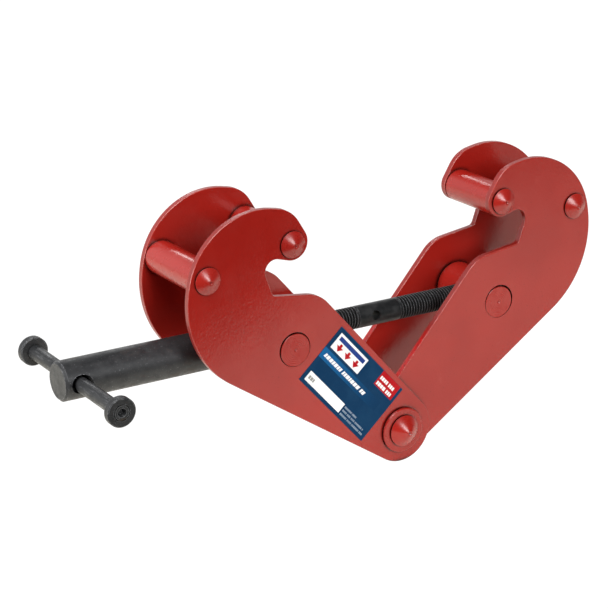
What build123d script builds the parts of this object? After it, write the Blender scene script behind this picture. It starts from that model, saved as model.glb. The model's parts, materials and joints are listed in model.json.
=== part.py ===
from build123d import *
import math
import os

# Beam clamp for hanging a load from the lower flange of a steel beam.
# Two hooked jaws turn on one suspension pin. A spindle with a left-hand and a right-hand thread runs
# through a trunnion nut in each jaw and pulls them together.
# Origin: centre of the suspension pin. X runs along the spindle, its handle at -X, and Y along the pins.

# --- jaw plates ---
PLATE_T = 4.0                  # plate thickness
INNER_FACE = 20.94             # inner face of the right jaw's plates, from the middle plane
OUTER_FACE = 25.47             # inner face of the left jaw's plates, which straddle the right jaw
EDGE_ROUND = 0.5               # broken edge all round a plate

# A jaw's outline is a belt drawn round these circles, for the right jaw: x, z, radius, and +1 where
# the circle is in the plate or -1 where it is cut out of it.
TIP_X, TIP_Z = 77.4, 131.5     # tip pin
BACK_X, BACK_Z = 133.8, 119.6  # back pin
NUT_X, NUT_Z = 76.1, 67.1      # hole for the trunnion
TAIL_R = 21.0                  # round tail about the suspension pin
OUTLINE = (
    (0.0, 0.0, TAIL_R, 1),
    (86.2, 104.6, 60.3, 1),    # lower back
    (99.2, 108.8, 46.8, 1),    # upper back
    (89.8, 134.3, 20.0, 1),    # brow
    (77.0, 132.0, 10.3, 1),    # round tip
    (88.5, 117.3, 7.0, -1),    # root of the throat
    (87.6, 105.9, 4.0, -1),    # inner corner of the throat
    (69.5, 77.4, 21.8, 1),     # lip under the flange
)

# --- pins that tie a jaw's two plates together ---
TIE_R = 10.0                   # between the plates
TIE_TENON_R = 7.0              # through a plate
TIE_HEAD_R = 8.0               # riveted head outside
TIE_HEAD_H = 4.6
TIE_RIM_H = 1.1                # rim under the cone of the head

# --- suspension pin ---
PIVOT_R = 11.0                 # between the plates, where the load hangs
PIVOT_NECK_R = 9.0             # through the plates and washers
PIVOT_HEAD_R = 9.9
PIVOT_HEAD_H = 7.0
PIVOT_RIM_H = 1.2
WASHER_R = 14.25
WASHER_T = 2.2
WASHER_ROUND = 0.9

SHOULDER_EDGE = 0.4            # broken edge of a pin's middle, against the plates
UNDERCUT = 0.8                 # broken edge under a head, against the metal outside
APEX_R = 1.7                   # flat at the top of a head
BELLY_OUT = 0.545              # bulge of a head's cone: its middle, as a share of the way out from the flat
BELLY_UP = 0.52                # and as a share of the way up from the rim
CENTRE_R = 1.1                 # centre mark left by turning
CENTRE_DEPTH = 0.7

# --- trunnion nuts ---
NUT_R = 14.4
JOURNAL_R = 10.0
JOURNAL_HOLE_R = 10.6
NUT_DROP = 0.45                # the journals lie low in their holes
NUT_PULL = 0.25                # and are drawn towards the middle by the thread
JOURNAL_PROUD = 0.3            # how far a journal stands out of its plate
NUT_EDGE = 0.4
NUT_GAP = 0.9                  # between a nut's shoulder and the plate beside it

# --- spindle ---
SPINDLE_Z = NUT_Z - NUT_DROP
THREAD_R = 7.0
PITCH = 2.0
THREAD_DEPTH = 1.08
CREST = 0.25
ROOT = 0.5
MIDDLE_HALF = 13.3             # half of the plain stretch between the two threads
CROSS_R = 3.0                  # hole across the plain stretch
CROSS_X = -3.4
CROSS_TURN = -10.0             # about X, in degrees: its front end is turned up from the horizontal
STOP_X = 110.0                 # both stops: the barrel's end at -X and the washer's face at +X
SPINDLE_END = 118.0
ROOT_IN_BARREL = 22.0          # length held in the barrel
END_CHAMFER = 1.2

# --- barrel and tommy bar ---
BARREL_R = 11.75
BARREL_END = 215.0
BARREL_CHAMFER = 1.4
BAR_X = -205.0
BAR_HOLE_R = 5.0
BAR_MOUTH_R = 6.9              # countersunk mouth of the hole
BAR_R = 4.4
BAR_LENGTH = 114.6
BAR_MID_Y = -1.7
BAR_DROP = 0.35                # the bar lies in the bottom of its hole
BAR_TILT = 0.9
COLLAR_R = 8.7
COLLAR_T = 5.0
COLLAR_CHAMFER = 0.55
COLLAR_MOUTH = 0.5             # groove between a collar and the bar's end: its width
COLLAR_MOUTH_DEPTH = 1.0
BAR_END_HOLE_R = 2.6
BAR_END_HOLE_DEPTH = 2.4

# --- end stop at the far end of the spindle ---
STOP_WASHER_R = 12.0
STOP_WASHER_T = 2.5
RING_R = 9.2
RING_GROOVE_R = 6.3
RING_T = 1.2
RING_GAP = 5.0                 # mouth of the snap ring
SIDE_PLAY = 0.1                # between the washer and the ring

# --- label ---
LABEL_LENGTH = 66.0
LABEL_WIDTH = 40.5
LABEL_T = 0.2
LABEL_X, LABEL_Z = -36.6, 37.0
LABEL_TURN = 48.2              # how far its long side leans from the horizontal, in degrees

# --- clearances ---
FIXED_GAP = 0.03               # radial, where a piece is riveted or pressed in place
RUNNING_GAP = 0.08             # radial, where a piece turns or slides
SIDE_GAP = 0.1                 # between faces that pass each other
OVERCUT = 1.0                  # how far a cut runs past the metal it goes through

ON_BASE = (Align.CENTER, Align.CENTER, Align.MIN)


def belt(circles):
    """Face in the XZ plane bounded by the belt round the circles, counterclockwise."""
    runs = []
    for (x1, z1, r1, side1), (x2, z2, r2, side2) in zip(circles, circles[1:] + circles[:1]):
        gap = math.hypot(x2 - x1, z2 - z1)
        heading = math.atan2(z2 - z1, x2 - x1) + math.asin((side1 * r1 - side2 * r2) / gap)
        out = (math.sin(heading), -math.cos(heading))
        leave = (x1 + side1 * r1 * out[0], z1 + side1 * r1 * out[1])
        arrive = (x2 + side2 * r2 * out[0], z2 + side2 * r2 * out[1])
        runs.append((leave, arrive))
    edges = []
    for (x, z, r, side), (_, arrive), (leave, next_arrive) in zip(circles, runs[-1:] + runs[:-1], runs):
        first = math.atan2(arrive[1] - z, arrive[0] - x)
        last = math.atan2(leave[1] - z, leave[0] - x)
        half = side * ((side * (last - first)) % (2 * math.pi)) / 2
        middle = (x + r * math.cos(first + half), z + r * math.sin(first + half))
        edges.append(ThreePointArc(arrive, middle, leave))
        edges.append(Line(leave, next_arrive))
    return Plane.XZ * make_face(Curve() + edges)


def rod(radius, y0, y1, x=0.0, z=0.0):
    """Round bar along Y from y0 to y1."""
    start = Plane(origin=(x, y0, z), x_dir=(1, 0, 0), z_dir=(0, 1, 0))
    return extrude(start * Circle(radius), y1 - y0)


def bar(radius, x0, x1):
    """Round bar along X from x0 to x1, on the spindle's axis."""
    start = Plane(origin=(x0, 0, SPINDLE_Z), x_dir=(0, 1, 0), z_dir=(1, 0, 0))
    return extrude(start * Circle(radius), x1 - x0)


def head(radius, rim, height):
    """Riveted head on the XY plane: an undercut rim, a bellied cone and a flat top with a centre mark."""
    lean = height - rim
    belly = (APEX_R + BELLY_OUT * (radius - APEX_R), rim + BELLY_UP * lean)
    base = Polyline((0, 0), (radius - UNDERCUT, 0), (radius, UNDERCUT))
    side = Line((radius, UNDERCUT), (radius, rim))
    cone = ThreePointArc((radius, rim), belly, (APEX_R, height))
    top = Line((APEX_R, height), (CENTRE_R, height))
    mark = Line((CENTRE_R, height), (0, height - CENTRE_DEPTH))
    axis = Line((0, height - CENTRE_DEPTH), (0, 0))
    profile = make_face(Curve() + [base, side, cone, top, mark, axis])
    return revolve(Plane.XZ * profile, Axis.Z)


def spacer(radius, half, x=0.0, z=0.0):
    """Middle of a pin, which keeps two plates apart, its edges broken."""
    body = rod(radius, -half, half, x, z)
    return chamfer(body.edges().filter_by(GeomType.CIRCLE), SHOULDER_EDGE)


def both_ends(shape, y, x, z):
    """Put a head on each end of a pin, the base of each at y from the middle plane."""
    front = Plane(origin=(x, -y, z), x_dir=(1, 0, 0), z_dir=(0, -1, 0)) * shape
    rear = Plane(origin=(x, y, z), x_dir=(1, 0, 0), z_dir=(0, 1, 0)) * shape
    return front + rear


def jaw_plate(face_y, side):
    """One plate of the right jaw. Its inner face is at face_y; side is -1 for the front, +1 for the rear."""
    near = min(side * face_y, side * (face_y + PLATE_T))
    slab = Pos(0, near + PLATE_T, 0) * extrude(belt(OUTLINE), PLATE_T)
    rims = slab.edges().filter_by(Plane.XZ)
    plate = fillet(rims, EDGE_ROUND)
    holes = (
        (0.0, 0.0, PIVOT_NECK_R + RUNNING_GAP),
        (TIP_X, TIP_Z, TIE_TENON_R + FIXED_GAP),
        (BACK_X, BACK_Z, TIE_TENON_R + FIXED_GAP),
        (NUT_X, NUT_Z, JOURNAL_HOLE_R),
    )
    for x, z, r in holes:
        plate -= rod(r, near - OVERCUT, near + PLATE_T + OVERCUT, x, z)
    return plate


def tie_pin(x, z, face_y):
    """Pin that holds two plates apart, with a riveted head outside each."""
    outside = face_y + PLATE_T
    pin = spacer(TIE_R, face_y, x, z)
    pin += rod(TIE_TENON_R, -outside, outside, x, z)
    return pin + both_ends(head(TIE_HEAD_R, TIE_RIM_H, TIE_HEAD_H), outside, x, z)


def trunnion_nut(x, face_y):
    """Round nut that turns in a jaw's two plates. The spindle passes through it."""
    length = 2 * (face_y - NUT_GAP)
    body = rod(NUT_R, -length / 2, length / 2, x, SPINDLE_Z)
    body = chamfer(body.edges().filter_by(GeomType.CIRCLE), NUT_EDGE)
    end = face_y + PLATE_T + JOURNAL_PROUD
    body += rod(JOURNAL_R, -end, end, x, SPINDLE_Z)
    tips = body.edges().filter_by(GeomType.CIRCLE).group_by(Axis.Y)
    body = chamfer(tips[0] + tips[-1], JOURNAL_PROUD)
    mark = Cone(CENTRE_R, 0, CENTRE_DEPTH, align=ON_BASE)
    for side in (-1, 1):
        body -= Plane(origin=(x, side * end, SPINDLE_Z), x_dir=(1, 0, 0), z_dir=(0, -side, 0)) * mark
    return body - bar(THREAD_R + RUNNING_GAP, x - NUT_R - OVERCUT, x + NUT_R + OVERCUT)


def threaded_rod():
    """Spindle. Each thread is drawn as rings of its own pitch and depth."""
    flank = (PITCH - CREST - ROOT) / 2
    count = int((STOP_X - END_CHAMFER - MIDDLE_HALF) / PITCH)
    points = [(-STOP_X - ROOT_IN_BARREL, 0), (-STOP_X - ROOT_IN_BARREL, THREAD_R)]
    starts = [-MIDDLE_HALF - PITCH * (count - i) for i in range(count)]
    starts += [MIDDLE_HALF + PITCH * i for i in range(count)]
    for start in starts:
        foot = start + CREST / 2 + flank
        points.append((start + CREST / 2, THREAD_R))
        points.append((foot, THREAD_R - THREAD_DEPTH))
        points.append((foot + ROOT, THREAD_R - THREAD_DEPTH))
        points.append((foot + ROOT + flank, THREAD_R))
    points.append((SPINDLE_END - END_CHAMFER, THREAD_R))
    points.append((SPINDLE_END, THREAD_R - END_CHAMFER))
    points.append((SPINDLE_END, 0))
    profile = make_face(Polyline(*points, close=True))
    screw = revolve(Plane.XZ * profile, Axis.X)
    screw = Pos(0, 0, SPINDLE_Z) * screw
    across = Rot(CROSS_TURN, 0, 0) * rod(CROSS_R, -BARREL_R, BARREL_R)
    screw -= Pos(CROSS_X, 0, SPINDLE_Z) * across
    ring_x = STOP_X + STOP_WASHER_T + SIDE_PLAY
    groove = bar(THREAD_R + OVERCUT, ring_x, ring_x + RING_T) - bar(RING_GROOVE_R, ring_x, ring_x + RING_T)
    return screw - groove


def barrel():
    """Handle end of the spindle: a bar bored for the screw and drilled across for the tommy bar."""
    body = bar(BARREL_R, -BARREL_END, -STOP_X)
    body = chamfer(body.edges().filter_by(GeomType.CIRCLE), BARREL_CHAMFER)
    body -= bar(THREAD_R + FIXED_GAP, -STOP_X - ROOT_IN_BARREL - SIDE_GAP, -STOP_X + OVERCUT)
    body -= rod(BAR_HOLE_R, -2 * BARREL_R, 2 * BARREL_R, BAR_X, SPINDLE_Z)
    sink = BAR_MOUTH_R - BAR_HOLE_R
    mouth = Cone(BAR_MOUTH_R, BAR_HOLE_R, sink, align=ON_BASE)
    for side in (-1, 1):
        rim = Plane(origin=(BAR_X, side * BARREL_R, SPINDLE_Z), x_dir=(1, 0, 0), z_dir=(0, -side, 0))
        body -= rim * mouth
    return body


def lay_bar(shape):
    """Take a piece drawn along Y at the origin to the tommy bar's place, lying low in its hole."""
    return Pos(BAR_X, 0, SPINDLE_Z - BAR_DROP) * Rot(BAR_TILT, 0, 0) * shape


def tommy_bar():
    """Round bar with a punched hole in each end, which spreads it in its collar."""
    low = BAR_MID_Y - BAR_LENGTH / 2
    high = BAR_MID_Y + BAR_LENGTH / 2
    body = rod(BAR_R, low, high)
    punch = Cone(BAR_END_HOLE_R, BAR_END_HOLE_R / 2, BAR_END_HOLE_DEPTH, align=ON_BASE)
    for y, side in ((low, -1), (high, 1)):
        body -= Plane(origin=(0, y, 0), x_dir=(1, 0, 0), z_dir=(0, -side, 0)) * punch
    return lay_bar(body)


def collar(side):
    """Collar riveted on one end of the tommy bar, its mouth chamfered round the bar."""
    outer = BAR_MID_Y + side * BAR_LENGTH / 2
    inner = outer - side * COLLAR_T
    body = rod(COLLAR_R, min(inner, outer), max(inner, outer))
    body = chamfer(body.edges().filter_by(GeomType.CIRCLE), COLLAR_CHAMFER)
    body -= rod(BAR_R + FIXED_GAP, min(inner, outer) - OVERCUT, max(inner, outer) + OVERCUT)
    mouth = Cone(BAR_R + COLLAR_MOUTH, BAR_R, COLLAR_MOUTH_DEPTH, align=ON_BASE)
    body -= Plane(origin=(0, outer, 0), x_dir=(1, 0, 0), z_dir=(0, -side, 0)) * mouth
    return lay_bar(body)


def suspension_pin():
    """Pin the load hangs from, necked through the plates, with a riveted head over each washer."""
    end = OUTER_FACE + PLATE_T + SIDE_GAP + WASHER_T
    pin = spacer(PIVOT_R, INNER_FACE - SIDE_GAP)
    pin += rod(PIVOT_NECK_R, -end, end)
    return pin + both_ends(head(PIVOT_HEAD_R, PIVOT_RIM_H, PIVOT_HEAD_H), end, 0, 0)


def pivot_washer(side):
    """Round-edged washer between a riveted head and the left jaw."""
    inner = OUTER_FACE + PLATE_T + SIDE_GAP
    ends = sorted((side * inner, side * (inner + WASHER_T)))
    body = rod(WASHER_R, *ends)
    body = fillet(body.edges().filter_by(GeomType.CIRCLE), WASHER_ROUND)
    return body - rod(PIVOT_NECK_R + FIXED_GAP, ends[0] - OVERCUT, ends[1] + OVERCUT)


def stop_washer():
    """Loose washer that stops the right jaw's nut at the end of the thread."""
    body = bar(STOP_WASHER_R, STOP_X, STOP_X + STOP_WASHER_T)
    return body - bar(THREAD_R + RUNNING_GAP, STOP_X - OVERCUT, STOP_X + STOP_WASHER_T + OVERCUT)


def stop_ring():
    """Snap ring in the spindle's groove, behind the loose washer."""
    x0 = STOP_X + STOP_WASHER_T + SIDE_PLAY
    x1 = x0 + RING_T - SIDE_PLAY
    ring = bar(RING_R, x0, x1) - bar(RING_GROOVE_R + FIXED_GAP, x0 - OVERCUT, x1 + OVERCUT)
    mouth = Box(x1 - x0 + 2 * OVERCUT, RING_GAP, RING_R)
    return ring - Pos((x0 + x1) / 2, 0, SPINDLE_Z - RING_R) * mouth


def label():
    """Thin rectangular label on the front of the left jaw."""
    on_plate = Plane(origin=(LABEL_X, -OUTER_FACE - PLATE_T, LABEL_Z), x_dir=(1, 0, 0), z_dir=(0, -1, 0))
    return extrude(on_plate * Rot(0, 0, -LABEL_TURN) * Rectangle(LABEL_LENGTH, LABEL_WIDTH), LABEL_T)


def left(shape):
    """The same piece on the left jaw."""
    return mirror(shape, about=Plane.YZ)


nodes = {
    "suspension_pin": suspension_pin(),
    "pivot_washer_front": pivot_washer(-1),
    "pivot_washer_rear": pivot_washer(1),
    "outer_plate_front": left(jaw_plate(OUTER_FACE, -1)),
    "outer_plate_rear": left(jaw_plate(OUTER_FACE, 1)),
    "left_tip_pin": tie_pin(-TIP_X, TIP_Z, OUTER_FACE),
    "left_back_pin": tie_pin(-BACK_X, BACK_Z, OUTER_FACE),
    "left_trunnion_nut": trunnion_nut(NUT_PULL - NUT_X, OUTER_FACE),
    "inner_plate_front": jaw_plate(INNER_FACE, -1),
    "inner_plate_rear": jaw_plate(INNER_FACE, 1),
    "right_tip_pin": tie_pin(TIP_X, TIP_Z, INNER_FACE),
    "right_back_pin": tie_pin(BACK_X, BACK_Z, INNER_FACE),
    "right_trunnion_nut": trunnion_nut(NUT_X - NUT_PULL, INNER_FACE),
    "spindle_screw": threaded_rod(),
    "spindle_barrel": barrel(),
    "end_stop_washer": stop_washer(),
    "end_stop_ring": stop_ring(),
    "tommy_bar": tommy_bar(),
    "tommy_bar_collar_front": collar(-1),
    "tommy_bar_collar_rear": collar(1),
    "rating_label": label(),
}

os.makedirs("parts", exist_ok=True)
for name, shape in nodes.items():
    shape.label = name
    export_step(shape, os.path.join("parts", name + ".step"))
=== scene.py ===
import json
import math
import random

import bmesh
import bpy
from mathutils import Matrix, Vector


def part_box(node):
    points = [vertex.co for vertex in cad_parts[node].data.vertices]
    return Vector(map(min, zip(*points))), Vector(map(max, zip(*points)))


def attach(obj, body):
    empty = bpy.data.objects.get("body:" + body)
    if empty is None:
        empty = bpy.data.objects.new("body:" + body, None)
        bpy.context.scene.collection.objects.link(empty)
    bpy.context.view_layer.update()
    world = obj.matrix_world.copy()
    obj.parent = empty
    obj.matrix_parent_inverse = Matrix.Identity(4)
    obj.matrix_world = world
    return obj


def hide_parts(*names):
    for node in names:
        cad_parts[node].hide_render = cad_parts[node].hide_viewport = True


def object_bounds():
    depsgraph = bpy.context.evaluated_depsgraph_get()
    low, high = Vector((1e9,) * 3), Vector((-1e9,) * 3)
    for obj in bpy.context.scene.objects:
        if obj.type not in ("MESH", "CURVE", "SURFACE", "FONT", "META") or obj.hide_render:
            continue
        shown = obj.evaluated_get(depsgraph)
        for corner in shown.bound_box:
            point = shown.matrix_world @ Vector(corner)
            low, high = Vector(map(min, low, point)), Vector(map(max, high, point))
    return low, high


# Looks of a screw beam clamp: red paint on the jaws, dark oxide on the handle, cut threads on the
# spindle and a printed label. Everything is in metres, in the frame of the CAD.

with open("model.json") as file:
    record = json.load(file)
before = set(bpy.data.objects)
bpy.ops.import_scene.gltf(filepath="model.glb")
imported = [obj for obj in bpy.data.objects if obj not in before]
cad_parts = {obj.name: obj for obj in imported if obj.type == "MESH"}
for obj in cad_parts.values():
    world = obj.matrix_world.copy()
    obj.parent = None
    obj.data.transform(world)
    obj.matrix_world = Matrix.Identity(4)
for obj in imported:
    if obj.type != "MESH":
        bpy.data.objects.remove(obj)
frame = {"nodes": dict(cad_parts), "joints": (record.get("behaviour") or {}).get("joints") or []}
cad_low, cad_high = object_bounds()
nodes = frame["nodes"]
joints = {joint["name"]: joint for joint in frame["joints"]}
MM = 0.001
RAYS = 6                       # per sample, for finding edges and creases

# --- paint ---
RED = (0.330, 0.0150, 0.0100, 1)
RED_DEEP = (0.290, 0.0110, 0.0070, 1)
RED_CHALK = (0.375, 0.0360, 0.0270, 1)
RED_SHEARED = (0.480, 0.0070, 0.0060, 1)
# paint chips on corners; also a painted highlight line along every corner
CHIP_AND_HIGHLIGHT = (0.460, 0.230, 0.200, 1)
# dirt for specks and scratches; also painted shade in creases, and the darker plate rims
GRIME_AND_SHADE = (0.016, 0.0035, 0.0030, 1)
RING_PITCH = 1.15 * MM         # of the rings on a turned end
SHEARED_FROM, SHEARED_FULL = 64 * MM, 50 * MM   # heights between which a scratched rim fades in

# --- steel ---
OXIDE = (0.032, 0.033, 0.035, 1)
OXIDE_DARK = (0.022, 0.023, 0.025, 1)
OXIDE_BROWN = (0.055, 0.041, 0.030, 1)
BRIGHT_STEEL = (0.260, 0.265, 0.280, 1)
OILY_BLACK = (0.013, 0.014, 0.015, 1)
OILY_GREY = (0.036, 0.037, 0.038, 1)
THREAD_WORN = (0.300, 0.308, 0.325, 1)
# painted shade, near black, for creases, grooves and holes
SHADE_BLACK = (0.002, 0.002, 0.002, 1)

# --- label ---
NAVY = (0.0020, 0.0310, 0.0880, 1)
NAVY_FADED = (0.0045, 0.0380, 0.0980, 1)
BAND_BLUE = (0.0060, 0.1040, 0.2850, 1)
BAND_BLUE_FADED = (0.0080, 0.0980, 0.2650, 1)
PRINT_RED = (0.4000, 0.0060, 0.0110, 1)
PRINT_RED_FADED = (0.4300, 0.0120, 0.0160, 1)
PRINT_BLUE = (0.0190, 0.0460, 0.2200, 1)
PRINT_BLUE_FADED = (0.0250, 0.0550, 0.2300, 1)
PRINT_WHITE = (0.8500, 0.8550, 0.8600, 1)
PRINT_WHITE_FADED = (0.7800, 0.7900, 0.8000, 1)
PRINT_PALE = (0.2300, 0.2900, 0.3700, 1)
PRINT_PALE_FADED = (0.1700, 0.2200, 0.3000, 1)
PRINT_GREY = (0.2400, 0.2400, 0.2300, 1)
PRINT_GREY_FADED = (0.3200, 0.3200, 0.3100, 1)

# --- studio ---
TARGET = Vector((-0.0512, 0.0, 0.0821))
AZIMUTH = math.radians(-32.1)
ELEVATION = math.radians(18.83)
ROLL = math.radians(-0.44)
DISTANCE = 1.254
LENS_MM = 124.05
SENSOR_MM = 36.0
TO_RIGHT = Vector((math.cos(AZIMUTH), math.sin(AZIMUTH), 0))
AWAY = Vector((-math.sin(AZIMUTH), math.cos(AZIMUTH), 0))
TABLE_SIZE = 6.0
TABLE_FRONT = 0.225            # from the target to the light table's front edge
TABLE_FADE = 0.06              # over which the table's front edge comes up to its full brightness
TABLE_DIMMING = (0.4, 0.9)     # to the right of the origin, over which the table dims
TABLE_DIMMED = 0.45            # share of its brightness that is left there
TABLE_GLOW = 0.40
TABLE_WHITE = (0.82, 0.79, 0.70, 1)
ROOM_GLOW = 0.03               # in front of the clamp and above it
BACKDROP_GLOW = 1.05           # behind it
BACKDROP_SIDES = (-0.25, 0.15)  # y of a direction, from the room to the backdrop
BACKDROP_TOP = (0.62, 0.52)    # z of a direction, from the room to the backdrop
SEEN_GLOW = 1.1                # of the plain white that is seen directly
# name, right of the target, in front of it, above it, width, height, watts
LAMPS = (
    ("overhead", -0.3, 0.5, 1.25, 1.4, 0.9, 20.0),
    ("key", 1.15, 1.80, 0.95, 0.90, 0.90, 37.0),
    ("side", -1.76, 0.87, 0.39, 0.7, 0.7, 25.0),
    ("back", -0.70, -2.40, 1.72, 0.45, 0.3, 6.0),
)


class Shader:
    """A node tree. Each call adds a node and returns one of its sockets."""

    def __init__(self, tree):
        self.tree = tree

    def add(self, kind, values, output=0, **settings):
        node = self.tree.nodes.new("ShaderNode" + kind)
        for key, value in settings.items():
            setattr(node, key, value)
        for socket, value in values.items():
            self.put(node, socket, value)
        return node.outputs[output]

    def put(self, node, socket, value):
        if isinstance(value, bpy.types.NodeSocket):
            self.tree.links.new(value, node.inputs[socket])
        else:
            node.inputs[socket].default_value = value

    def span(self, value, low, high, to_low=0.0, to_high=1.0):
        """Value taken smoothly from low..high to to_low..to_high."""
        values = {"Value": value, 1: low, 2: high, 3: to_low, 4: to_high}
        return self.add("MapRange", values, interpolation_type="SMOOTHSTEP")

    def math(self, operation, a, b=0.0):
        return self.add("Math", {0: a, 1: b}, operation=operation)

    def times(self, a, b):
        return self.math("MULTIPLY", a, b)

    def dot(self, a, b):
        return self.add("VectorMath", {0: a, 1: b}, 1, operation="DOT_PRODUCT")

    def part(self, vector, index):
        """One component of a vector."""
        return self.add("SeparateXYZ", {0: vector}, index)


class Finish(Shader):
    """A material. Its place is the point's object coordinates."""

    def __init__(self, name):
        self.material = bpy.data.materials.new(name)
        self.material.use_nodes = True
        super().__init__(self.material.node_tree)
        self.surface = self.tree.nodes["Principled BSDF"]
        self.place = self.add("TexCoord", {}, "Object")

    def finish(self, **values):
        """Set the shader's own sockets and return the material."""
        for socket, value in values.items():
            self.put(self.surface, socket.replace("_", " "), value)
        return self.material

    def noise(self, size, detail=3.0, roughness=0.55):
        """Noise whose features are about size metres across."""
        values = {"Vector": self.place, "Scale": 1 / size, "Detail": detail, "Roughness": roughness}
        return self.add("TexNoise", values)

    def streaks(self, sizes):
        """Noise stretched to a size for each axis."""
        stretched = self.add("VectorMath", {0: self.place, 1: sizes}, operation="DIVIDE")
        return self.add("TexNoise", {"Vector": stretched, "Scale": 1.0, "Detail": 4.0, "Roughness": 0.65})

    def mix(self, share, a, b):
        """Colour a where share is 0, b where it is 1."""
        return self.add("Mix", {0: share, 6: a, 7: b}, 2, data_type="RGBA")

    def patches(self, tone, colour, size, low, high, share=1.0, **noise):
        """Tone with patches of a colour, about size metres across. They start where noise passes low."""
        return self.mix(self.span(self.noise(size, **noise), low, high, 0.0, share), tone, colour)

    def bump(self, height, depth, strength, under=None):
        """Normal raised by height times depth metres, over another one if that is under it."""
        values = {"Height": height, "Distance": depth, "Strength": strength}
        if under:
            values["Normal"] = under
        return self.add("Bump", values, "Normal")

    def edge(self, radius, low, high):
        """1 where the surface turns sharply within radius, 0 where it is flat."""
        rounded = self.add("Bevel", {"Radius": radius}, samples=RAYS)
        normal = self.add("NewGeometry", {}, "Normal")
        return self.span(self.math("SUBTRACT", 1.0, self.dot(rounded, normal)), low, high)

    def crease(self, reach):
        """1 in the open, less where another surface is within reach."""
        return self.add("AmbientOcclusion", {"Distance": reach}, "AO", samples=RAYS)

    def own_normal(self):
        """Direction the surface faces, in the object's own axes."""
        normal = self.add("NewGeometry", {}, "True Normal")
        turn = {"vector_type": "NORMAL", "convert_from": "WORLD", "convert_to": "OBJECT"}
        return self.add("VectorTransform", {0: normal}, **turn)


def tool_rings(s, centre):
    """Height of the rings that a tool left round the centre of a turned end, clearest in patches."""
    from_centre = s.add("VectorMath", {0: s.place, 1: centre}, operation="SUBTRACT")
    in_plane = s.add("VectorMath", {0: from_centre, 1: (1, 0, 1)}, operation="MULTIPLY")
    radius = s.add("VectorMath", {0: in_plane}, 1, operation="LENGTH")
    rings = s.math("SINE", s.times(radius, 2 * math.pi / RING_PITCH))
    return s.times(rings, s.span(s.noise(4 * MM), 0.35, 0.6))


def plate_rim(s, tone, rough, normal, sheared):
    """Change the paint of a plate's rim: torn, darker, dull, and redder with scratches where it faces
    sheared.

    The fourth value returned is 1 on the corners between rim and face.
    """
    facing = s.own_normal()
    side = s.math("SUBTRACT", 1.0, s.math("ABSOLUTE", s.part(facing, 1)))
    corner = s.span(s.times(side, s.math("SUBTRACT", 1.0, side)), 0.03, 0.18)
    torn = s.streaks((1.6 * MM, 6 * MM, 1.6 * MM))
    normal = s.bump(s.times(s.span(side, 0.75, 1.0), torn), 0.30 * MM, 0.7, normal)
    # the whole rim a little darker
    tone = s.mix(s.span(side, 0.75, 1.0, 0.0, 0.30), tone, GRIME_AND_SHADE)
    low_down = s.span(s.part(s.place, 2), SHEARED_FROM, SHEARED_FULL)
    scratched = s.times(s.span(s.dot(facing, sheared), 0.80, 0.97), low_down)
    scratches = s.span(s.streaks((2.2 * MM, 0.5 * MM, 2.2 * MM)), 0.52, 0.62)
    tone = s.mix(scratched, tone, s.mix(s.times(scratches, 0.75), RED_SHEARED, GRIME_AND_SHADE))
    rough = s.math("ADD", rough, s.times(s.span(side, 0.7, 1.0), 0.20))
    return tone, rough, normal, corner


def paint(name, sheared=None, centre=None):
    """Gloss red paint: orange peel, slow drifts of tone, specks, painted shade in creases, chips on corners
    and a painted highlight line along every corner.

    A plate gives the direction that its scratched rim faces, and a turned end gives its centre.
    """
    s = Finish(name)
    tone = s.patches(RED, RED_DEEP, 55 * MM, 0.35, 0.68, detail=2.0)
    tone = s.patches(tone, RED_CHALK, 9 * MM, 0.60, 0.80, 0.22, detail=4.0, roughness=0.7)
    tone = s.patches(tone, GRIME_AND_SHADE, 1.1 * MM, 0.70, 0.78, 0.35, detail=1.0)
    gloss, peel = (0.11, 0.08 * MM) if sheared else (0.22, 0.03 * MM)
    rough = s.span(s.noise(14 * MM, 4.0), 0.3, 0.75, gloss, gloss + 0.09)
    normal = s.bump(s.noise(1.2 * MM, 1.0, 0.5), peel, 0.8)
    normal = s.bump(s.noise(4 * MM, 2.0), 0.06 * MM, 0.6, normal)
    # painted shade: darker where another surface is near, in creases and round heads, nuts and washers
    tone = s.mix(s.span(s.crease(4 * MM), 0.85, 0.50, 0.0, 0.97), tone, GRIME_AND_SHADE)
    if centre:
        normal = s.bump(tool_rings(s, centre), 0.07 * MM, 0.7, normal)
    if sheared:
        tone, rough, normal, corner = plate_rim(s, tone, rough, normal, sheared)
    else:
        corner = s.edge(0.4 * MM, 0.02, 0.18)
    coarse = s.span(s.noise(3.2 * MM, 5.0, 0.75), 0.52, 0.64)
    fine = s.span(s.noise(0.8 * MM, 3.0, 0.7), 0.50, 0.64)
    # chips in patches on corners, and at least a faint painted highlight line along every corner
    chip_and_highlight = s.times(corner, s.math("MAXIMUM", s.times(coarse, fine), 0.15))
    tone = s.mix(chip_and_highlight, tone, CHIP_AND_HIGHLIGHT)
    rough = s.math("ADD", rough, s.times(chip_and_highlight, 0.3))
    return s.finish(Base_Color=tone, Roughness=rough, Normal=normal, IOR=1.5)


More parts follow.
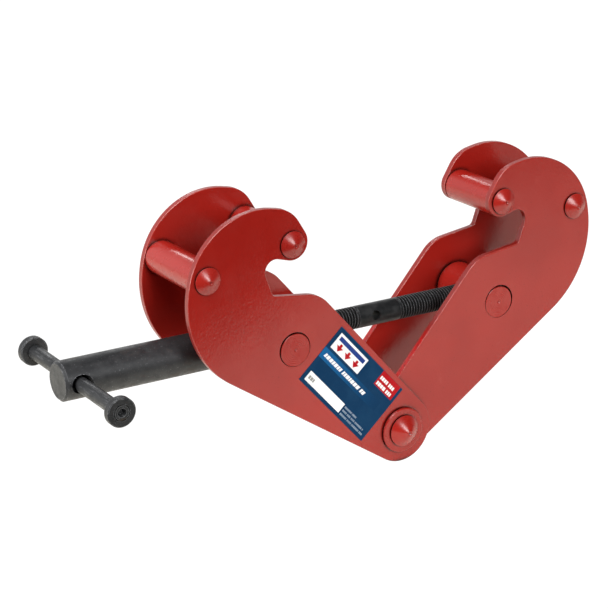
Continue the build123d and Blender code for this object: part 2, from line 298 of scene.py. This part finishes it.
def oxide(name):
    """Dark heat-treated steel: cloudy oxide, bright wear on open edges, brown where it begins to rust, and
    painted shade in creases.
    """
    s = Finish(name)
    tone = s.patches(OXIDE_DARK, OXIDE, 7 * MM, 0.35, 0.65, detail=5.0, roughness=0.65)
    tone = s.patches(tone, BRIGHT_STEEL, 0.9 * MM, 0.62, 0.74, 0.3, detail=2.0, roughness=0.6)
    tone = s.patches(tone, OXIDE_BROWN, 16 * MM, 0.56, 0.72, 0.6, detail=5.0, roughness=0.7)
    rough = s.span(s.noise(4 * MM, 4.0, 0.6), 0.3, 0.7, 0.36, 0.56)
    crease = s.crease(2 * MM)
    open_edge = s.times(s.edge(0.8 * MM, 0.005, 0.07), s.span(crease, 0.75, 0.92))
    worn = s.times(open_edge, s.span(s.noise(2.5 * MM, 4.0, 0.7), 0.40, 0.60, 0.0, 0.8))
    tone = s.mix(worn, tone, BRIGHT_STEEL)
    rough = s.math("SUBTRACT", rough, s.times(worn, 0.2))
    # painted shade: near black in creases and grooves
    tone = s.mix(s.span(crease, 0.80, 0.50, 0.0, 0.97), tone, SHADE_BLACK)
    pits = s.bump(s.noise(1.3 * MM, 4.0, 0.65), 0.05 * MM, 0.5)
    return s.finish(Base_Color=tone, Roughness=rough, Normal=pits, Metallic=0.35)


def scuffed_bar(name, underside):
    """Drawn steel of the tommy bar: lengthwise scuffs, brown along its underside, at that height, and painted
    shade in creases.
    """
    s = Finish(name)
    scuff = s.streaks((1.2 * MM, 9 * MM, 1.2 * MM))
    tone = s.patches(OXIDE_DARK, OXIDE, 6 * MM, 0.35, 0.7, detail=4.0)
    tone = s.mix(s.span(scuff, 0.52, 0.76, 0.0, 0.38), tone, BRIGHT_STEEL)
    tone = s.mix(s.times(s.edge(0.9 * MM, 0.01, 0.10), 0.5), tone, BRIGHT_STEEL)
    low = s.span(s.part(s.place, 2), underside + 1.8 * MM, underside + 0.2 * MM)
    tone = s.mix(s.times(low, s.span(s.noise(5 * MM, 4.0), 0.35, 0.6)), tone, OXIDE_BROWN)
    # painted shade: near black in creases
    tone = s.mix(s.span(s.crease(2 * MM), 0.80, 0.45, 0.0, 0.95), tone, SHADE_BLACK)
    rough = s.span(scuff, 0.3, 0.75, 0.52, 0.34)
    return s.finish(Base_Color=tone, Roughness=rough, Normal=s.bump(scuff, 0.04 * MM, 0.5), Metallic=0.4)


def oiled_steel(name):
    """Blackened, oiled steel of the spindle: worn bright on the threads' crests, and painted shade, near
    black, in the grooves and the cross hole.
    """
    s = Finish(name)
    tone = s.patches(OILY_BLACK, OILY_GREY, 9 * MM, 0.35, 0.70, roughness=0.6)
    from_middle = s.math("ABSOLUTE", s.part(s.place, 0))
    threaded = s.span(from_middle, MIDDLE_HALF - 0.8 * MM, MIDDLE_HALF + 0.2 * MM)
    worn = s.times(threaded, s.span(s.noise(3 * MM), 0.35, 0.65, 0.5, 1.0))
    tone = s.mix(s.times(s.edge(0.32 * MM, 0.01, 0.12), worn), tone, THREAD_WORN)
    rough = s.span(s.noise(3 * MM), 0.3, 0.7, 0.30, 0.42)
    # painted shade: near black, and rougher, in the threads' grooves and the cross hole
    groove = s.span(s.crease(5 * MM), 0.85, 0.55)
    tone = s.mix(s.times(groove, 0.97), tone, SHADE_BLACK)
    rough = s.math("ADD", rough, s.times(groove, 0.35))
    turned = s.bump(s.streaks((0.5 * MM, 5 * MM, 5 * MM)), 0.01 * MM, 0.3)
    return s.finish(Base_Color=tone, Roughness=rough, Normal=turned, Metallic=0.3, Specular_IOR_Level=0.2)


def ink(name, colour, faint, fade=None):
    """Printed film, faint in patches. A fade runs to navy along a direction, from a start to an end."""
    s = Finish(name)
    tone = s.patches(colour, faint, 9 * MM, 0.38, 0.70)
    if fade:
        direction, start, end = fade
        tone = s.mix(s.span(s.dot(s.place, direction), start, end), tone, NAVY)
    tone = s.patches(tone, PRINT_GREY, 0.6 * MM, 0.68, 0.80, 0.12, detail=2.0)
    rough = s.span(s.noise(6 * MM), 0.3, 0.7, 0.30, 0.45)
    ripple = s.bump(s.noise(5 * MM, 2.0), 0.04 * MM, 0.4)
    return s.finish(Base_Color=tone, Roughness=rough, Normal=ripple, Specular_IOR_Level=0.06)


def dress(names, material):
    """Give CAD nodes a material."""
    for name in names:
        nodes[name].data.materials.clear()
        nodes[name].data.materials.append(material)


def new_object(name, mesh):
    """Make an object of a finished bmesh."""
    data = bpy.data.meshes.new(name)
    mesh.to_mesh(data)
    mesh.free()
    made = bpy.data.objects.new(name, data)
    bpy.context.scene.collection.objects.link(made)
    return made


def new_piece(name, mesh, materials, body):
    """Make a piece of a finished bmesh. It rides on a body."""
    piece = new_object(name, mesh)
    for material in materials:
        piece.data.materials.append(material)
    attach(piece, body)
    return piece


# --- spindle with its two threads ---
SPINDLE_R = 7.0 * MM
SPINDLE_Z = joints["spindle_turn"]["pos_m"][2]
LEFT_END, RIGHT_END = (corner.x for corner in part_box("spindle_screw"))
PITCH = 2.0 * MM
THREAD_DEPTH = 1.08 * MM
CREST = 0.125                  # as a share of the pitch
ROOT = 0.25                    # the same
STEPS = 48                     # points round one turn
TURNS = 46
RUN_OUT = 0.8                  # turns over which the groove fades in and out
MIDDLE_HALF = 13.3 * MM        # half of the plain stretch between the threads
MARGIN = 0.4 * MM              # from a thread's end to the next ring of points
CROSS_X = -3.4 * MM            # of the hole across the plain middle
CROSS_R = 3.0 * MM
CROSS_TURN = math.radians(-10.0)  # about X: its front end is turned up from the horizontal
END_CHAMFER = 1.2 * MM
GROOVE_START, GROOVE_END, GROOVE_R = 112.6 * MM, 113.8 * MM, 6.3 * MM
SHARP = math.radians(28)       # edges that turn more than this stay sharp


def vertex(mesh, x, radius, angle):
    """Vertex at an angle round the spindle's axis."""
    return mesh.verts.new((x, radius * math.cos(angle), SPINDLE_Z + radius * math.sin(angle)))


def ring(mesh, side, x, radius):
    """Ring of vertices round the spindle's axis, on one side of the middle."""
    turn = 2 * math.pi / STEPS
    return [vertex(mesh, side * x, radius, i * turn) for i in range(STEPS)]


def skin(mesh, first, second):
    """Faces between two closed rings."""
    for i in range(STEPS):
        j = (i + 1) % STEPS
        mesh.faces.new((first[i], first[j], second[j], second[i]))


def thread(mesh, side, near):
    """Cut one thread outwards from the ring near, right-handed on side +1. Returns the ring after it.

    Each step round has the four corners of the thread's profile, and the next turn's first corner
    closes them. The groove fades to nothing at both ends.
    """
    flank = (1 - CREST - ROOT) / 2
    corners = ((0.0, 0.0), (CREST, 0.0), (CREST + flank, 1.0), (CREST + flank + ROOT, 1.0))
    last = TURNS * STEPS
    start = MIDDLE_HALF + MARGIN

    def point(i, share, deep):
        turn = i / STEPS
        fade = max(0.0, min(1.0, turn / RUN_OUT, (TURNS - turn) / RUN_OUT))
        x = side * (start + PITCH * (turn + share))
        return vertex(mesh, x, SPINDLE_R - THREAD_DEPTH * deep * fade, 2 * math.pi * turn)

    rows = [[point(i, share, deep) for share, deep in corners] for i in range(last + 1)]
    after_last = [point(i, 0.0, 0.0) for i in range(last + 1, last + STEPS + 1)]
    lead = [row[0] for row in rows] + after_last
    for i in range(last):
        here = rows[i] + [lead[i + STEPS]]
        there = rows[i + 1] + [lead[i + 1 + STEPS]]
        for a, b, c, d in zip(here, here[1:], there[1:], there):
            mesh.faces.new((a, b, c, d))
    for i in range(STEPS - 1):
        mesh.faces.new((near[i], near[i + 1], lead[i + 1], lead[i]))
    mesh.faces.new([near[STEPS - 1], near[0]] + rows[0] + [lead[STEPS], lead[STEPS - 1]])
    far = ring(mesh, side, start + PITCH * (TURNS + 1) + MARGIN, SPINDLE_R)
    for i in range(1, STEPS):
        j = (i + 1) % STEPS
        mesh.faces.new((lead[last + i], lead[last + i + 1], far[j], far[i]))
    mesh.faces.new([lead[last + 1], far[1], far[0], lead[last + STEPS]] + rows[last][::-1])
    return far


def screw_mesh():
    """The whole screw: plain middle, a thread on each side of it, and the groove of the snap ring."""
    mesh = bmesh.new()
    left, right = (ring(mesh, side, MIDDLE_HALF, SPINDLE_R) for side in (-1, 1))
    skin(mesh, left, right)
    back = thread(mesh, -1, left)
    end = ring(mesh, -1, -LEFT_END, SPINDLE_R)
    skin(mesh, back, end)
    mesh.faces.new(end)
    before = thread(mesh, 1, right)
    profile = (
        (GROOVE_START, SPINDLE_R), (GROOVE_START, GROOVE_R), (GROOVE_END, GROOVE_R), (GROOVE_END, SPINDLE_R),
        (RIGHT_END - END_CHAMFER, SPINDLE_R), (RIGHT_END, SPINDLE_R - END_CHAMFER),
    )
    for x, radius in profile:
        after = ring(mesh, 1, x, radius)
        skin(mesh, before, after)
        before = after
    mesh.faces.new(before)
    bmesh.ops.recalc_face_normals(mesh, faces=mesh.faces)
    return mesh


def drill(screw):
    """Cut the cross hole through the screw's plain middle."""
    bit = bmesh.new()
    depth = 4 * SPINDLE_R
    bmesh.ops.create_cone(bit, cap_ends=True, segments=STEPS, radius1=CROSS_R, radius2=CROSS_R, depth=depth)
    place = Matrix.Translation((CROSS_X, 0, SPINDLE_Z)) @ Matrix.Rotation(CROSS_TURN - math.pi / 2, 4, "X")
    bmesh.ops.transform(bit, matrix=place, verts=bit.verts)
    cutter = new_object("cutter", bit)
    cut = screw.modifiers.new("cross_hole", "BOOLEAN")
    cut.object = cutter
    cut.solver = "EXACT"
    graph = bpy.context.evaluated_depsgraph_get()
    screw.data = bpy.data.meshes.new_from_object(screw.evaluated_get(graph))
    screw.modifiers.clear()
    bpy.data.objects.remove(cutter)


def spindle():
    """Screw with real helical threads, in place of the CAD's rings."""
    steel = oiled_steel("oiled_steel")
    screw = new_piece("spindle_threads", screw_mesh(), [steel], "spindle")
    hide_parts("spindle_screw")
    drill(screw)
    screw.data.shade_smooth()
    screw.data.set_sharp_from_angle(angle=SHARP)


# --- print on the label, in label millimetres from its centre ---
PRINT_STEP = 0.02 * MM         # each layer of print stands this far above the one below
BLOCK_WIDTHS = (0.7, 1.25)     # of a word's blocks, as shares of the width that its line gives
BLOCK_GAP = 0.225              # between two blocks of a word, as a share of that width
WORD_GAP = 0.6                 # added between two words, as a share of that width
BAND_FADE = (-37.0, 29.0)      # along the label
# ink, layer, left, right, bottom and top of each field
FIELDS = (
    ("band", 1, -33.0, 26.0, -2.0, 5.0),
    ("white", 1, -30.1, -1.6, 6.7, 17.6),
    ("blue", 2, -28.5, -3.2, 13.4, 16.1),
    ("red", 1, 12.6, 30.8, 10.0, 20.2),
    ("white", 1, -30.1, 5.5, -17.9, -11.4),
)
# ink, layer, left, right, bottom, top, width of a block and slant of each line of words
LINES = (
    ("white", 2, -30.0, 12.6, 0.1, 2.5, 2.0, 0.32),
    ("white", 2, 13.8, 28.8, 14.9, 17.1, 1.7, 0.0),
    ("white", 2, 13.8, 29.6, 10.9, 13.2, 1.7, 0.0),
    ("grey", 2, -28.6, -23.2, -15.9, -13.8, 1.6, 0.0),
    ("pale", 1, 6.8, 18.8, -13.1, -11.9, 0.9, 0.0),
    ("pale", 1, 6.8, 28.5, -15.5, -14.3, 0.9, 0.0),
    ("pale", 1, 6.8, 30.2, -18.0, -16.8, 0.9, 0.0),
)
# arrows under the pictogram's beam, and the outline of one, sideways and up
ARROWS = (-24.2, -15.85, -7.5)
ARROW = ((-1.0, 12.6), (-1.0, 10.8), (-3.0, 10.8), (0, 7.6), (3.0, 10.8), (1.0, 10.8), (1.0, 12.6))
# full and faint colour of each ink
INKS = {
    "band": (BAND_BLUE, BAND_BLUE_FADED),
    "white": (PRINT_WHITE, PRINT_WHITE_FADED),
    "blue": (PRINT_BLUE, PRINT_BLUE_FADED),
    "red": (PRINT_RED, PRINT_RED_FADED),
    "grey": (PRINT_GREY, PRINT_GREY_FADED),
    "pale": (PRINT_PALE, PRINT_PALE_FADED),
}
random.seed(41)


def label_axes():
    """Centre of the label's face, and unit vectors along its long and its short side."""
    points = [vert.co for vert in nodes["rating_label"].data.vertices]
    front = min(point.y for point in points)
    corners = [point for point in points if point.y < front + PRINT_STEP]
    left = min(corners, key=lambda point: point.x)
    low = min(corners, key=lambda point: point.z)
    high = max(corners, key=lambda point: point.z)
    return (low + high) / 2, (low - left).normalized(), (high - left).normalized()


CENTRE, ALONG, ACROSS = label_axes()


class Print:
    """Flat print on the label. u runs along it and v across it."""

    def __init__(self):
        self.mesh = bmesh.new()
        self.inks = []

    def shape(self, colour, layer, outline):
        """Add a closed prism over the outline."""
        if colour not in self.inks:
            self.inks.append(colour)
        out = Vector((0, -1, 0))
        flat = [CENTRE + (u * ALONG + v * ACROSS) * MM for u, v in outline]
        base = [self.mesh.verts.new(point - out * PRINT_STEP / 2) for point in flat]
        top = [self.mesh.verts.new(point + out * PRINT_STEP * layer) for point in flat]
        faces = [self.mesh.faces.new(base), self.mesh.faces.new(top)]
        for i in range(len(flat)):
            j = (i + 1) % len(flat)
            faces.append(self.mesh.faces.new((base[i], base[j], top[j], top[i])))
        for face in faces:
            face.material_index = self.inks.index(colour)
        bmesh.ops.recalc_face_normals(self.mesh, faces=faces)

    def box(self, colour, layer, left, right, bottom, top, slant=0.0):
        """Rectangle, leaning by slant."""
        lean = slant * (top - bottom)
        self.shape(colour, layer, ((left, bottom), (right, bottom), (right + lean, top), (left + lean, top)))

    def words(self, colour, layer, left, right, bottom, top, width, slant):
        """A line of plain blocks, in groups like words."""
        u = left
        in_word = random.randint(4, 7)
        while u < right - width / 2:
            end = min(u + width * random.uniform(*BLOCK_WIDTHS), right)
            self.box(colour, layer, u, end, bottom, top, slant)
            in_word -= 1
            u = end + width * BLOCK_GAP
            if in_word == 0:
                in_word = random.randint(3, 7)
                u += width * WORD_GAP


def label_print():
    """Everything printed on the label: fields, a pictogram of a loaded beam, and blocks for words."""
    p = Print()
    for field in FIELDS:
        p.box(*field)
    for place in ARROWS:
        p.shape("red", 2, [(place + u, v) for u, v in ARROW])
    for line in LINES:
        p.words(*line)
    middle = CENTRE.dot(ALONG)
    fades = {"band": (ALONG, *(middle + u * MM for u in BAND_FADE))}
    inks = {name: ink(name + "_ink", *colours, fades.get(name)) for name, colours in INKS.items()}
    new_piece("label_print", p.mesh, [inks[name] for name in p.inks], "left_jaw")


def light_table():
    """Glowing table that runs back from in front of the clamp. It lights the clamp and isn't seen itself."""
    near = Vector((TARGET.x, TARGET.y, cad_low.z)) - AWAY * TABLE_FRONT
    mesh = bmesh.new()
    corners = []
    for x, y in ((-1, 0), (1, 0), (1, 1), (-1, 1)):
        corners.append(mesh.verts.new(near + TO_RIGHT * TABLE_SIZE * x + AWAY * TABLE_SIZE * y))
    mesh.faces.new(corners)
    floor = new_object("floor", mesh)
    floor.visible_camera = False
    s = Finish("light_table")
    from_front = s.dot(s.place, AWAY)
    to_right = s.dot(s.place, TO_RIGHT)
    start = near.dot(AWAY)
    front = s.span(from_front, start, start + TABLE_FADE)
    share = s.times(front, s.span(to_right, *TABLE_DIMMING, 1.0, TABLE_DIMMED))
    tone = s.mix(share, (0, 0, 0, 1), TABLE_WHITE)
    white = s.finish(Base_Color=tone, Roughness=0.9, Emission_Color=tone, Emission_Strength=TABLE_GLOW)
    floor.data.materials.append(white)


def room():
    """Dark room with a bright backdrop behind the clamp. Seen directly, it is plain white all round."""
    world = bpy.data.worlds.new("room")
    bpy.context.scene.world = world
    world.use_nodes = True
    s = Shader(world.node_tree)
    direction = s.add("TexCoord", {}, "Generated")
    behind = s.span(s.part(direction, 1), *BACKDROP_SIDES)
    lit = s.times(behind, s.span(s.part(direction, 2), *BACKDROP_TOP))
    strength = s.span(lit, 0.0, 1.0, ROOM_GLOW, BACKDROP_GLOW)
    glow = s.add("Background", {"Color": (1, 1, 1, 1), "Strength": strength})
    plain = s.add("Background", {"Color": (1, 1, 1, 1), "Strength": SEEN_GLOW})
    seen = s.add("LightPath", {}, "Is Camera Ray")
    either = s.add("MixShader", {0: seen, 1: glow, 2: plain})
    s.put(world.node_tree.nodes["World Output"], "Surface", either)


def lamps():
    """Soft lights, each turned to the target."""
    for name, sideways, forwards, up, width, height, power in LAMPS:
        lamp = bpy.data.lights.new(name, "AREA")
        lamp.shape = "RECTANGLE"
        lamp.size = width
        lamp.size_y = height
        lamp.energy = power
        place = TARGET + TO_RIGHT * sideways - AWAY * forwards + Vector((0, 0, up))
        light = bpy.data.objects.new(name, lamp)
        light.location = place
        light.rotation_euler = (TARGET - place).to_track_quat("-Z", "Y").to_euler()
        bpy.context.scene.collection.objects.link(light)


def camera():
    """Camera at the place the clamp is usually shown from."""
    flat = math.cos(ELEVATION)
    back = Vector((math.sin(AZIMUTH) * flat, -math.cos(AZIMUTH) * flat, math.sin(ELEVATION)))
    level = Matrix((TO_RIGHT, back.cross(TO_RIGHT), back)).transposed().to_4x4()
    data = bpy.data.cameras.new("camera")
    data.lens = LENS_MM
    data.sensor_width = SENSOR_MM
    view = bpy.data.objects.new("camera", data)
    view.matrix_world = Matrix.Translation(TARGET + back * DISTANCE) @ level @ Matrix.Rotation(ROLL, 4, "Z")
    bpy.context.scene.collection.objects.link(view)
    bpy.context.scene.camera = view


# --- materials of the CAD nodes ---
LIP_SLOPE = math.radians(48.1)  # of the straight side of a jaw, between its tail and the lip under the flange


def dress_jaws():
    """Paint on the plates, the pins, the washers and the nuts' ends."""
    for side, plates in ((1, "outer"), (-1, "inner")):
        lip = Vector((side * math.sin(LIP_SLOPE), 0, math.cos(LIP_SLOPE)))
        dress([plates + "_plate_front", plates + "_plate_rear"], paint(plates + "_plate_paint", sheared=lip))
    pins = ["suspension_pin", "pivot_washer_front", "pivot_washer_rear"]
    pins += [side + pin for side in ("left", "right") for pin in ("_tip_pin", "_back_pin")]
    dress(pins, paint("pin_paint"))
    for side in ("left", "right"):
        hub = Vector(joints[side + "_nut_turn"]["pos_m"])
        dress([side + "_trunnion_nut"], paint(side + "_nut_paint", centre=hub))


dress_jaws()
dress(["spindle_barrel"], oxide("barrel_oxide"))
dress(["tommy_bar_collar_front", "tommy_bar_collar_rear"], oxide("collar_oxide"))
dress(["end_stop_washer", "end_stop_ring"], oxide("stop_oxide"))
dress(["tommy_bar"], scuffed_bar("bar_scuffed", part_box("tommy_bar")[0].z))
dress(["rating_label"], ink("label_navy", NAVY, NAVY_FADED))
spindle()
label_print()
light_table()
room()
lamps()
camera()
bpy.context.scene.view_settings.view_transform = "Standard"
